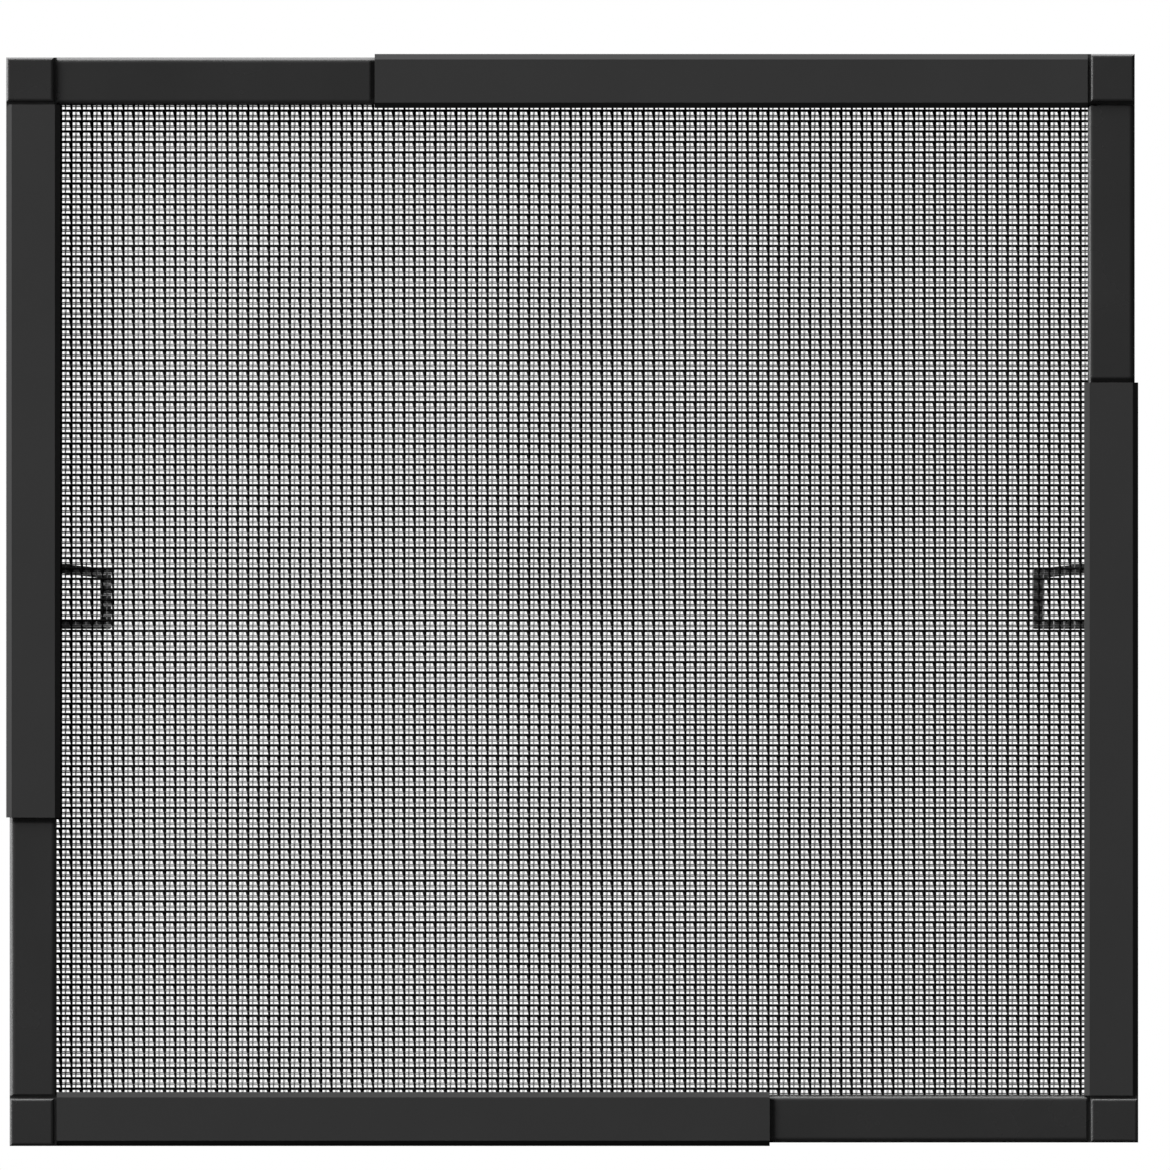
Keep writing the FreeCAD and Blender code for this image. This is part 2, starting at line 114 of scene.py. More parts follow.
class Graph:
    """Adds nodes to one node tree and joins them."""

    def __init__(self, tree: bpy.types.NodeTree) -> None:
        """Keeps the tree that the nodes go into."""
        self.tree = tree

    def add(self, kind: str, **settings: object) -> bpy.types.Node:
        """Adds one node.

        Args:
            kind: The node's type name.
            settings: Properties to set on it.

        Returns:
            The new node.
        """
        node = self.tree.nodes.new(kind)
        for name, value in settings.items():
            setattr(node, name, value)
        return node

    def feed(self, target: bpy.types.NodeSocket, value: object) -> None:
        """Links a socket to the target, or sets a plain value on it."""
        if isinstance(value, bpy.types.NodeSocket):
            self.tree.links.new(value, target)
        else:
            target.default_value = value

    def math(self, operation: str, *values: object, clamp: bool = False) -> bpy.types.NodeSocket:
        """Works out one step of arithmetic.

        Args:
            operation: The Math node's operation.
            values: Its inputs, sockets or numbers.
            clamp: Whether the result is kept between 0 and 1.

        Returns:
            The result's socket.
        """
        node = self.add("ShaderNodeMath", operation=operation, use_clamp=clamp)
        for socket, value in zip(node.inputs, values):
            self.feed(socket, value)
        return node.outputs[0]

    def spread(self, value: object, low: float, high: float) -> bpy.types.NodeSocket:
        """Maps a value from 0 to 1 onto low to high."""
        node = self.add("ShaderNodeMapRange", clamp=True)
        self.feed(node.inputs["Value"], value)
        node.inputs["To Min"].default_value = low
        node.inputs["To Max"].default_value = high
        return node.outputs["Result"]

    def tint(self, mask: object, first: object, second: object) -> bpy.types.NodeSocket:
        """Mixes two colours by a mask.

        Args:
            mask: Share of the second colour, from 0 to 1.
            first: Colour or socket where the mask is 0.
            second: Colour or socket where the mask is 1.

        Returns:
            The mixed colour's socket.
        """
        node = self.add("ShaderNodeMix", data_type="RGBA")
        self.feed(node.inputs[MIX_SHARE], mask)
        for number, colour in ((MIX_FIRST, first), (MIX_SECOND, second)):
            linked = isinstance(colour, bpy.types.NodeSocket)
            self.feed(node.inputs[number], colour if linked else (*colour, 1.0))
        return node.outputs[MIX_RESULT]


class Effect:
    """A shader effect that several finishes share, kept as one node group."""

    title = "effect"
    takes: dict[str, float] = {}
    gives: tuple[str, ...] = ()

    def draw(self, graph: Graph, given: bpy.types.Node, made: bpy.types.Node) -> None:
        """Draws the nodes between the group's inputs and outputs."""
        raise NotImplementedError

    def tree(self) -> bpy.types.NodeTree:
        """Finds the group, and builds it the first time.

        Returns:
            The group's node tree.
        """
        found = bpy.data.node_groups.get(self.title)
        if found:
            return found
        tree = bpy.data.node_groups.new(self.title, "ShaderNodeTree")
        tree.interface.new_socket("Vector", in_out="INPUT", socket_type="NodeSocketVector")
        for name, value in self.takes.items():
            socket = tree.interface.new_socket(name, in_out="INPUT", socket_type="NodeSocketFloat")
            socket.default_value = value
        for name in self.gives:
            tree.interface.new_socket(name, in_out="OUTPUT", socket_type="NodeSocketFloat")
        graph = Graph(tree)
        self.draw(graph, graph.add("NodeGroupInput"), graph.add("NodeGroupOutput"))
        return tree

    def place(self, graph: Graph, vector: bpy.types.NodeSocket, **values: float) -> bpy.types.Node:
        """Puts the group into a material.

        Args:
            graph: The material's nodes.
            vector: Coordinates that the pattern follows.
            values: Settings of the group's named inputs.

        Returns:
            The group's node.
        """
        node = graph.add("ShaderNodeGroup", node_tree=self.tree())
        graph.feed(node.inputs["Vector"], vector)
        for name, value in values.items():
            node.inputs[name].default_value = value
        return node


class Pebble(Effect):
    """Fine pebbled skin of a stoved coat or a sparked mould."""

    title = "pebble"
    takes = {"Size": 0.5 * MM, "Flow": 0.5}
    gives = ("Height", "Tone")
    detail = 3.0

    def draw(self, graph: Graph, given: bpy.types.Node, made: bpy.types.Node) -> None:
        """Mixes round cells with a finer noise."""
        scale = graph.math("DIVIDE", 1.0, given.outputs["Size"])
        cells = graph.add("ShaderNodeTexVoronoi", feature="SMOOTH_F1")
        noise = graph.add("ShaderNodeTexNoise")
        noise.inputs["Detail"].default_value = self.detail
        for node in (cells, noise):
            graph.feed(node.inputs["Vector"], given.outputs["Vector"])
            graph.feed(node.inputs["Scale"], scale)
        domes = graph.math("SUBTRACT", 1.0, cells.outputs["Distance"], clamp=True)
        rough = graph.math("SUBTRACT", 1.0, given.outputs["Flow"])
        smooth = graph.math("MULTIPLY", domes, given.outputs["Flow"])
        height = graph.math("MULTIPLY_ADD", noise.outputs["Fac"], rough, smooth)
        graph.feed(made.inputs["Height"], height)
        graph.feed(made.inputs["Tone"], noise.outputs["Fac"])


class Cloud(Effect):
    """Wide soft clouds, for handling marks and uneven gloss."""

    title = "cloud"
    takes = {"Size": 40.0 * MM, "Contrast": 1.0}
    gives = ("Mask",)
    detail = 4.0
    crispness = 0.55

    def draw(self, graph: Graph, given: bpy.types.Node, made: bpy.types.Node) -> None:
        """Spreads a low noise about its middle."""
        noise = graph.add("ShaderNodeTexNoise")
        noise.inputs["Detail"].default_value = self.detail
        noise.inputs["Roughness"].default_value = self.crispness
        graph.feed(noise.inputs["Vector"], given.outputs["Vector"])
        graph.feed(noise.inputs["Scale"], graph.math("DIVIDE", 1.0, given.outputs["Size"]))
        centred = graph.math("SUBTRACT", noise.outputs["Fac"], 0.5)
        graph.feed(
            made.inputs["Mask"],
            graph.math("MULTIPLY_ADD", centred, given.outputs["Contrast"], 0.5, clamp=True),
        )


class PlainWeave(Effect):
    """Threads that pass over and under each other in the plane of the screen."""

    title = "plain_weave"
    takes = {"Pitch": 0.6 * MM}
    gives = ("Height", "Ends")

    def draw(self, graph: Graph, given: bpy.types.Node, made: bpy.types.Node) -> None:
        """Lays rows of rounded threads both ways, each on top at every second crossing."""
        parts = graph.add("ShaderNodeSeparateXYZ")
        graph.feed(parts.inputs[0], given.outputs["Vector"])
        turns = []
        for axis in ("X", "Z"):
            rows = graph.math("DIVIDE", parts.outputs[axis], given.outputs["Pitch"])
            turns.append(graph.math("MULTIPLY", rows, HALF_TURN))
        waves = [graph.math("SINE", turn) for turn in turns]
        over = graph.math("MULTIPLY", *waves)
        rounds = [graph.math("ABSOLUTE", wave) for wave in waves]
        body = graph.math("MINIMUM", *rounds)
        lift = graph.math("MULTIPLY_ADD", over, 0.5, 0.5)
        graph.feed(made.inputs["Height"], graph.math("MULTIPLY_ADD", body, 0.5, lift))
        graph.feed(made.inputs["Ends"], lift)


@dataclass(frozen=True)
class Finish:
    """What every finish has: a name and a shader with its even values."""

    title: str
    colour: Colour
    roughness: float
    specular: float

    def start(self) -> tuple[bpy.types.Material, Graph, bpy.types.Node, bpy.types.NodeSocket]:
        """Makes an empty material with its shader.

        Returns:
            The material, its nodes, its shader and the Object coordinates.
        """
        material = bpy.data.materials.new(self.title)
        material.use_nodes = True
        material.diffuse_color = (*self.colour, 1.0)
        graph = Graph(material.node_tree)
        shader = material.node_tree.nodes["Principled BSDF"]
        shader.inputs["Base Color"].default_value = (*self.colour, 1.0)
        shader.inputs["Roughness"].default_value = self.roughness
        shader.inputs["Specular IOR Level"].default_value = self.specular
        place = graph.add("ShaderNodeTexCoord").outputs["Object"]
        return material, graph, shader, place

    def shaded(self, share: float) -> Colour:
        """The finish's colour made lighter or darker by a share."""
        return tuple(part * share for part in self.colour)

    def emboss(
        self, graph: Graph, shader: bpy.types.Node, height: bpy.types.NodeSocket, depth: float
    ) -> None:
        """Presses a relief into the shader's normal.

        Args:
            graph: The material's nodes.
            shader: The shader that takes the normal.
            height: Relief from 0 to 1.
            depth: Depth of the relief in metres.
        """
        bump = graph.add("ShaderNodeBump")
        bump.inputs["Distance"].default_value = depth
        graph.feed(bump.inputs["Height"], height)
        graph.feed(shader.inputs["Normal"], bump.outputs["Normal"])


@dataclass(frozen=True)
class Coat(Finish):
    """Stoved powder coat or moulded plastic, with a pebbled skin and faint clouds."""

    pebble: float = 0.45 * MM
    depth: float = 0.02 * MM
    flow: float = 0.6
    cloud: float = 45.0 * MM
    contrast: float = 1.6
    stain: float = 0.08
    uneven: float = 0.05

    def material(self) -> bpy.types.Material:
        """Builds the material.

        Returns:
            The finished material.
        """
        material, graph, shader, place = self.start()
        skin = Pebble().place(graph, place, Size=self.pebble, Flow=self.flow)
        cloud = Cloud().place(graph, place, Size=self.cloud, Contrast=self.contrast)
        speckle = graph.math("MULTIPLY_ADD", skin.outputs["Tone"], 0.5, 0.25)
        half = graph.math("MULTIPLY", speckle, 0.5)
        tone = graph.math("MULTIPLY_ADD", cloud.outputs["Mask"], 0.5, half)
        colour = graph.tint(tone, self.shaded(1.0 - self.stain), self.shaded(1.0 + self.stain))
        graph.feed(shader.inputs["Base Color"], colour)
        low, high = self.roughness - self.uneven, self.roughness + self.uneven
        gloss = graph.spread(cloud.outputs["Mask"], low, high)
        graph.feed(shader.inputs["Roughness"], gloss)
        self.emboss(graph, shader, skin.outputs["Height"], self.depth)
        return material


@dataclass(frozen=True)
class SlidingCoatWithPaintedShadow(Coat):
    """Coat of a rail that slides, with a painted shadow: a near-black line in its colour where it
    leaves its outer rail.
    """

    mouth_x: float = 98.75 * MM
    mouth_z: float = 108.75 * MM
    shadow_reach: float = 3.2 * MM
    fade: float = 0.4
    # Colour of the painted shadow at each mouth, near black.
    painted_shadow: Colour = (0.0015, 0.0015, 0.0015)

    def material(self) -> bpy.types.Material:
        """Builds the material.

        Returns:
            The finished material.
        """
        material = super().material()
        graph = Graph(material.node_tree)
        target = material.node_tree.nodes["Principled BSDF"].inputs["Base Color"]
        coat = target.links[0].from_socket
        # Painted shadow: the colour fades to near black within a few millimetres of each mouth. It
        # stands in for the shadow of the outer rail's end on the inner rail.
        parts = graph.add("ShaderNodeSeparateXYZ")
        graph.feed(parts.inputs[0], graph.add("ShaderNodeTexCoord").outputs["Object"])
        shadow_lines = []
        for axis, mouth in (("X", self.mouth_x), ("Z", self.mouth_z)):
            off = graph.math("SUBTRACT", graph.math("ABSOLUTE", parts.outputs[axis]), mouth)
            share = graph.math("DIVIDE", graph.math("ABSOLUTE", off), self.shadow_reach)
            shadow_lines.append(graph.math("SUBTRACT", 1.0, share, clamp=True))
        line = graph.math("MAXIMUM", *shadow_lines)
        thick = graph.math("DIVIDE", line, self.fade, clamp=True)
        graph.feed(target, graph.tint(thick, coat, self.painted_shadow))
        return material


@dataclass(frozen=True)
class Cloth(Finish):
    """Woven tape with a plain weave, soft sheen and a little lint."""

    pitch: float = 0.55 * MM
    depth: float = 0.12 * MM
    cloud: float = 12.0 * MM
    contrast: float = 1.8
    sheen: float = 0.15
    sheen_rough: float = 0.5
    lint: float = 0.35
    uneven: float = 0.08

    def material(self) -> bpy.types.Material:
        """Builds the material.

        Returns:
            The finished material.
        """
        material, graph, shader, place = self.start()
        weave = PlainWeave().place(graph, place, Pitch=self.pitch)
        cloud = Cloud().place(graph, place, Size=self.cloud, Contrast=self.contrast)
        fuzz = graph.math("MULTIPLY", weave.outputs["Ends"], cloud.outputs["Mask"])
        colour = graph.tint(fuzz, self.shaded(1.0 - self.lint), self.shaded(1.0 + 2.0 * self.lint))
        graph.feed(shader.inputs["Base Color"], colour)
        low, high = self.roughness - self.uneven, self.roughness + self.uneven
        gloss = graph.spread(weave.outputs["Ends"], high, low)
        graph.feed(shader.inputs["Roughness"], gloss)
        shader.inputs["Sheen Weight"].default_value = self.sheen
        shader.inputs["Sheen Roughness"].default_value = self.sheen_rough
        self.emboss(graph, shader, weave.outputs["Height"], self.depth)
        return material


@dataclass(frozen=True)
class Yarn(Finish):
    """Coated or spun thread, with a fibrous skin and an uneven gloss."""

    fibre: float = 0.25 * MM
    depth: float = 0.03 * MM
    flow: float = 0.3
    cloud: float = 60.0 * MM
    contrast: float = 1.5
    fade: float = 0.25
    uneven: float = 0.1

    def material(self) -> bpy.types.Material:
        """Builds the material.

        Returns:
            The finished material.
        """
        material, graph, shader, place = self.start()
        skin = Pebble().place(graph, place, Size=self.fibre, Flow=self.flow)
        cloud = Cloud().place(graph, place, Size=self.cloud, Contrast=self.contrast)
        colour = graph.tint(
            cloud.outputs["Mask"], self.shaded(1.0 - self.fade), self.shaded(1.0 + self.fade)
        )
        graph.feed(shader.inputs["Base Color"], colour)
        low, high = self.roughness - self.uneven, self.roughness + self.uneven
        gloss = graph.spread(skin.outputs["Tone"], low, high)
        graph.feed(shader.inputs["Roughness"], gloss)
        self.emboss(graph, shader, skin.outputs["Height"], self.depth)
        return material


OUTER_COAT = Coat("outer_rail_coat", (0.0485, 0.0485, 0.0485), 0.5, 0.05)
INNER_COAT = SlidingCoatWithPaintedShadow("inner_rail_coat", (0.0355, 0.0355, 0.0355), 0.26, 0.8, pebble=0.4 * MM)
CORNER_SKIN = Coat(
    "corner_skin", (0.0355, 0.0355, 0.0355), 0.26, 0.8, pebble=0.6 * MM, depth=0.03 * MM
)
TAB_SKIN = Coat("tab_skin", (0.15, 0.15, 0.15), 0.5, 0.25, pebble=0.5 * MM, depth=0.03 * MM)
PAD_FOAM = Coat(
    "pad_foam", (0.24, 0.24, 0.23), 0.85, 0.2, pebble=0.35 * MM, depth=0.15 * MM, flow=0.9
)
BINDING_CLOTH = Cloth("binding_cloth", (0.014, 0.014, 0.014), 0.8, 0.2)
TAPE_CLOTH = Cloth("tape_cloth", (0.012, 0.012, 0.012), 0.75, 0.25, pitch=0.4 * MM)
NET_YARN = Yarn("net_yarn", (0.004, 0.004, 0.004), 0.65, 0.08)
FINE_YARN = Yarn("fine_yarn", (0.25, 0.25, 0.25), 0.65, 0.08)
SEWING_YARN = Yarn("sewing_yarn", (0.03, 0.03, 0.03), 0.55, 0.25, fibre=0.15 * MM)
HOOK_NYLON = Yarn("hook_nylon", (0.016, 0.016, 0.016), 0.4, 0.35, fibre=0.2 * MM)


class Piece:
    """A mesh piece under construction."""

    def __init__(self, title: str) -> None:
        """Starts an empty mesh."""
        self.title = title
        self.mesh = bmesh.new()

    def grow(
        self, corners: list[Vector], line: list[Vector], shares: list[float] | None = None
    ) -> None:
        """Runs a closed outline along a line, one extrusion for each step.

        Args:
            corners: The outline about the line's first point.
            line: Points that the outline moves through.
            shares: Share of the outline's size at each point, if it changes.
        """
        bm = self.mesh
        first = shares[0] if shares else 1.0
        cap = bm.faces.new([bm.verts.new(line[0] + first * corner) for corner in corners])
        for step, (start, end) in enumerate(zip(line, line[1:])):
            grown = bmesh.ops.extrude_face_region(bm, geom=[cap])["geom"]
            if step:
                bm.faces.remove(cap)
            ring = [part for part in grown if isinstance(part, bmesh.types.BMVert)]
            cap = next(part for part in grown if isinstance(part, bmesh.types.BMFace))
            bmesh.ops.translate(bm, verts=ring, vec=end - start)
            if shares:
                share = shares[step + 1] / shares[step]
                bmesh.ops.scale(bm, verts=ring, vec=(share,) * 3, space=Matrix.Translation(-end))
        bmesh.ops.recalc_face_normals(bm, faces=bm.faces[:])

    def array(self, step: Vector, count: int) -> None:
        """Repeats the whole mesh at even steps, doubling it while it can.

        Args:
            step: From one copy to the next.
            count: Number of copies, the first one included.
        """
        bm = self.mesh
        single = [*bm.verts, *bm.edges, *bm.faces]
        have = 1
        while have < count:
            whole = 2 * have <= count
            part = [*bm.verts, *bm.edges, *bm.faces] if whole else single
            copied = bmesh.ops.duplicate(bm, geom=part)["geom"]
            fresh = [item for item in copied if isinstance(item, bmesh.types.BMVert)]
            bmesh.ops.translate(bm, verts=fresh, vec=step * have)
            have += have if whole else 1

    def absorb(self, other: "Piece", finish: int = 0) -> None:
        """Takes in another piece's mesh.

        Args:
            other: The piece to take in, which is used up.
            finish: Number of the finish that its faces get.
        """
        for face in other.mesh.faces:
            face.material_index = finish
        loose = bpy.data.meshes.new("loose")
        other.mesh.to_mesh(loose)
        other.mesh.free()
        self.mesh.from_mesh(loose)
        bpy.data.meshes.remove(loose)

    def finish(
        self, materials: list[bpy.types.Material], body: str, slot: str, smooth: bool = True
    ) -> bpy.types.Object:
        """Makes the mesh an object that rides on a body.

        Args:
            materials: Finishes in slot order.
            body: The body that carries the piece.
            slot: The record's material slot; not used.
            smooth: Whether its faces are shaded round.

        Returns:
            The piece's object.
        """
        for face in self.mesh.faces:
            face.smooth = smooth
        data = bpy.data.meshes.new(self.title)
        self.mesh.to_mesh(data)
        self.mesh.free()
        for material in materials:
            data.materials.append(material)
        made = bpy.data.objects.new(self.title, data)
        bpy.context.scene.collection.objects.link(made)
        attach(made, body)
        return made


@dataclass
class Strand:
    """Section of a net thread, with its corners in shares of half its width and depth."""

    width: float
    depth: float
    wave: float
    taper: float
    corners: tuple[tuple[float, float], ...]
    ply: Ply

    def outline(self, way: Way) -> list[Vector]:
        """Corners of the section across a thread.

        Args:
            way: The way that the thread runs.

        Returns:
            The corners about the thread's middle.
        """
        return [way.point(0.0, self.width / 2 * u, self.depth / 2 * y) for u, y in self.corners]


LENS = ((1.0, 0.0), (0.0, 1.0), (-1.0, 0.0), (0.0, -1.0))
ROOF = ((1.0, -0.5), (0.0, 1.0), (-1.0, -0.5))


@dataclass
class Net:
    """Woven net in two halves, so that it can follow the slides both ways."""

    pitch: float = 5.202 * MM
    first_x: float = -266.1 * MM
    first_z: float = 255.05 * MM
    columns: int = 103
    rows: int = 99
    half_x: float = 266.4 * MM
    half_z: float = 256.4 * MM
    lean: float = 0.22 * MM
    fine_lean: float = -0.27 * MM
    step: float = 0.5 * MM
    fine_aside: float = 0.5
    thin_aside: float = 0.42
    cross_drops: tuple[float, ...] = (0.45, 0.6)
    middle: float = 5.5 * MM
    apart: float = 0.22 * MM
    lap: float = 0.4 * MM
    main: Strand = field(
        default_factory=lambda: Strand(1.5 * MM, 0.19 * MM, 0.08 * MM, 0.34, LENS, Ply.BLACK)
    )
    bar: Strand = field(
        default_factory=lambda: Strand(1.29 * MM, 0.22 * MM, 0.08 * MM, 0.0, LENS, Ply.BLACK)
    )
    fine: Strand = field(
        default_factory=lambda: Strand(0.44 * MM, 0.12 * MM, 0.0, -0.15, ROOF, Ply.GREY)
    )
    thin: Strand = field(
        default_factory=lambda: Strand(0.4 * MM, 0.12 * MM, 0.0, 0.0, ROOF, Ply.GREY)
    )
    cross: Strand = field(
        default_factory=lambda: Strand(0.6 * MM, 0.12 * MM, 0.0, 0.0, ROOF, Ply.GREY)
    )

    @property
    def seam_row(self) -> int:
        """Number of the last row that belongs to the upper half."""
        return self.rows // 2

    def row_z(self, row: float) -> float:
        """Height of a row of the net."""
        return self.first_z - row * self.pitch

    def column_x(self, column: float) -> float:
        """Place of a column of the net."""
        return self.first_x + column * self.pitch

    def depth_of(self, half: Half) -> float:
        """Middle of a half of the net, from front to back."""
        return self.middle - self.apart if half is Half.UPPER else self.middle + self.apart

    def span_of(self, half: Half) -> tuple[float, float]:
        """Top and bottom of a half's upright threads."""
        seam = self.row_z(self.seam_row)
        if half is Half.UPPER:
            return self.half_z, seam - self.lap
        return seam + self.lap, -self.half_z

    def rows_of(self, half: Half, drop: float) -> list[int]:
        """Lists the rows of a half for threads that lie a share of the pitch below them.

        Args:
            half: The half of the net.
            drop: How far below its row a thread lies.

        Returns:
            Numbers of the rows whose threads lie in the half.
        """
        if half is Half.UPPER:
            return [row for row in range(self.rows) if row + drop <= self.seam_row]
        return [row for row in range(self.rows) if self.seam_row < row + drop <= self.rows - 1]

    def upright(self, half: Half, column: float, strand: Strand, lean: float) -> list[Vector]:
        """Line of an upright thread, which leans across each gap and steps back at each row.

        Args:
            half: The half of the net.
            column: The thread's column.
            strand: Its section.
            lean: How far it leans to each side.

        Returns:
            The points of the thread from the top down.
        """
        top, bottom = self.span_of(half)
        x, y = self.column_x(column), self.depth_of(half)
        if not lean:
            return [Way.DOWN.point(z, x, y) for z in (top, bottom)]
        spots = []
        for row in range(-1, self.rows + 1):
            side = strand.wave if (row + int(column)) % 2 else -strand.wave
            z = self.row_z(row)
            spots.append((z + self.step, x + lean, y + side))
            spots.append((z - self.step, x - lean, y + side))
        return self.cut(spots, top, bottom, Way.DOWN)

    def level(self, half: Half, row: float, strand: Strand) -> list[Vector]:
        """Line of a level thread.

        Args:
            half: The half of the net.
            row: The thread's row.
            strand: Its section.

        Returns:
            The points of the thread from left to right.
        """
        z, y = self.row_z(row), self.depth_of(half)
        if not strand.wave:
            return [Way.ACROSS.point(x, z, y) for x in (-self.half_x, self.half_x)]
        spots = []
        for column in range(-1, self.columns + 1):
            side = -strand.wave if (column + int(row)) % 2 else strand.wave
            spots.append((self.column_x(column), z, y + side))
        return self.cut(spots, -self.half_x, self.half_x, Way.ACROSS)

    @staticmethod
    def cut(
        spots: list[tuple[float, float, float]], start: float, end: float, way: Way
    ) -> list[Vector]:
        """Cuts a thread's line at both ends.

        Args:
            spots: Along, aside and depth of each point, in order.
            start: Where the thread starts along its way.
            end: Where it ends.
            way: The way that it runs.

        Returns:
            The points from start to end.
        """
        ahead = 1.0 if end > start else -1.0
        line = []
        for first, second in zip(spots, spots[1:]):
            for limit in (start, end):
                share = (limit - first[0]) / (second[0] - first[0])
                if 0.0 < share <= 1.0:
                    mixed = [a + (b - a) * share for a, b in zip(first, second)]
                    line.append(way.point(*mixed))
            if ahead * start < ahead * second[0] < ahead * end:
                line.append(way.point(*second))
        return sorted(line, key=lambda spot: ahead * spot[way.value])

    def weave(self, half: Half, yarns: dict[Ply, bpy.types.Material]) -> bpy.types.Object:
        """Weaves one half of the net.

        Args:
            half: The half to weave.
            yarns: Finish of each yarn.

        Returns:
            The half's object.
        """
        piece = Piece(f"net_{half.name.lower()}")
        pair = 2.0 * self.pitch
        uprights = (
            (self.main, 0.0, self.lean),
            (self.fine, self.fine_aside, self.fine_lean),
            (self.thin, self.thin_aside, 0.0),
        )
        for strand, aside, lean in uprights:
            last = self.columns - 1 - aside
            columns = [column for column in range(self.columns) if column <= last]
            for phase in range(2):
                thread = Piece("upright")
                line = self.upright(half, phase + aside, strand, lean)
                middle = self.column_x(phase + aside)
                shares = None
                if lean:
                    shares = [1.0 - strand.taper * (spot.x - middle) / lean for spot in line]
                thread.grow(strand.outline(Way.DOWN), line, shares)
                thread.array(Vector((pair, 0.0, 0.0)), len(columns[phase::2]))
                piece.absorb(thread, strand.ply.value)
        levels = [(self.bar, 0.0)] + [(self.cross, drop) for drop in self.cross_drops]
        for strand, drop in levels:
            rows = self.rows_of(half, drop)
            for phase in range(2):
                thread = Piece("level")
                line = self.level(half, rows[phase] + drop, strand)
                thread.grow(strand.outline(Way.ACROSS), line)
                thread.array(Vector((0.0, 0.0, -pair)), len(rows[phase::2]))
                piece.absorb(thread, strand.ply.value)
        made = piece.finish([yarns[ply] for ply in Ply], half.value, "net")
        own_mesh(made)
        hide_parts("net")
        return made


@dataclass
class Binding:
    """Folded tape sewn round one edge of the net."""

    node: str
    body: str
    way: Way
    joint: str
    fixed_high: bool
    travel: float
    fold_high: bool
    clear: float = 0.05 * MM
    wall: float = 0.35 * MM
    stitch: float = 4.0 * MM
    stitch_share: float = 0.86
    stitch_wide: float = 0.55 * MM
    stitch_high: float = 0.3 * MM
    stitch_sides: int = 6
    stitch_rings: int = 4
    seams: tuple[float, ...] = (2.6 * MM, 13.2 * MM)
    groove: float = 0.8 * MM
    sink: float = 0.16 * MM
    pull: float = 0.1 * MM
    bend_steps: int = 6

    def section(self, wide: float, thick: float) -> list[tuple[float, float]]:
        """Outline of the folded tape, from its open edge round the fold and back inside.

        Args:
            wide: Width of the folded tape.
            thick: Its thickness.

        Returns:
            Distances from the open edge and from the front.
        """
        turn = thick / 2
        ease = self.wall / 3
        back = [(0.0, thick - ease), (ease, thick)]
        for seam in self.seams:
            back.append((seam - self.groove, thick))
            back.append((seam, thick - self.sink))
            back.append((seam + self.groove, thick))
        front = [(u, thick - y) for u, y in reversed(back)]
        bend = [
            (wide - turn + turn * math.sin(angle), turn + turn * math.cos(angle))
            for angle in (HALF_TURN * part / self.bend_steps for part in range(1, self.bend_steps))
        ]
        inner = turn - self.wall
        inside = [
            (0.0, turn - inner),
            (wide - turn, turn - inner),
            (wide - turn + inner, turn),
            (wide - turn, turn + inner),
            (0.0, turn + inner),
        ]
        return [*back, (wide - turn, thick), *bend, (wide - turn, 0.0), *front, *inside]

    def build(self, cloth: bpy.types.Material, yarn: bpy.types.Material) -> bpy.types.Object:
        """Folds the tape, sews it and hangs it on its body.

        Args:
            cloth: Finish of the tape.
            yarn: Finish of its stitches.

        Returns:
            The binding's object.
        """
        low, high = (corner.copy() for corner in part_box(self.node))
        along, aside = self.way.value, self.way.other.value
        low[along] += self.clear
        high[along] -= self.clear
        wide, thick = high[aside] - low[aside], high.y - low.y
        open_edge, out = (low[aside], 1.0) if self.fold_high else (high[aside], -1.0)
        length = high[along] - low[along]
        stitches = round(length / self.stitch)
        pace = length / stitches
        piece = Piece(f"{self.node}_binding")
        outline = self.section(wide, thick)
        corners = [self.way.point(0.0, out * u, y) for u, y in outline]
        start = self.way.point(low[along], open_edge, low.y)
        ahead = self.way.point(pace / 2, 0.0, 0.0)
        piece.grow(corners, [start + ahead * step for step in range(2 * stitches + 1)])
        self.pucker(piece, low, high, pace)
        for seam in self.seams:
            for face in (low.y + self.sink, high.y - self.sink):
                first = self.way.point(low[along] + pace / 2, open_edge + out * seam, face)
                piece.absorb(self.row(first, pace, stitches), finish=1)
        made = piece.finish([cloth, yarn], self.body, "hem")
        axis = self.way.point(1.0, 0.0, 0.0)
        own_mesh(made)
        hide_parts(self.node)
        return made

    def pucker(self, piece: Piece, low: Vector, high: Vector, pace: float) -> None:
        """Pulls the seam grooves deeper at each needle hole.

        Args:
            piece: The binding's mesh.
            low: Lowest corner of the binding's box.
            high: Its highest corner.
            pace: Length of a stitch.
        """
        along = self.way.value
        holes = [
            vert
            for vert in piece.mesh.verts
            if round((vert.co[along] - low[along]) / (pace / 2)) % 2 == 0
        ]
        for groove, pull in ((low.y + self.sink, self.pull), (high.y - self.sink, -self.pull)):
            sunk = [vert for vert in holes if abs(vert.co.y - groove) < HAIR]
            bmesh.ops.translate(piece.mesh, verts=sunk, vec=(0.0, pull, 0.0))

    def row(self, first: Vector, pace: float, stitches: int) -> Piece:
        """Sews one row of stitches.

        Args:
            first: Middle of the first stitch.
            pace: Length of a stitch.
            stitches: Number of stitches.

        Returns:
            The row's mesh.
        """
        row = Piece("stitches")
        size = self.way.point(pace * self.stitch_share, self.stitch_wide, self.stitch_high)
        shape = Matrix.Translation(first) @ Matrix.Diagonal((*size, 1.0))
        bmesh.ops.create_uvsphere(
            row.mesh,
            u_segments=self.stitch_sides,
            v_segments=self.stitch_rings,
            radius=0.5,
            matrix=shape,
        )
        row.array(self.way.point(pace, 0.0, 0.0), stitches)
        return row


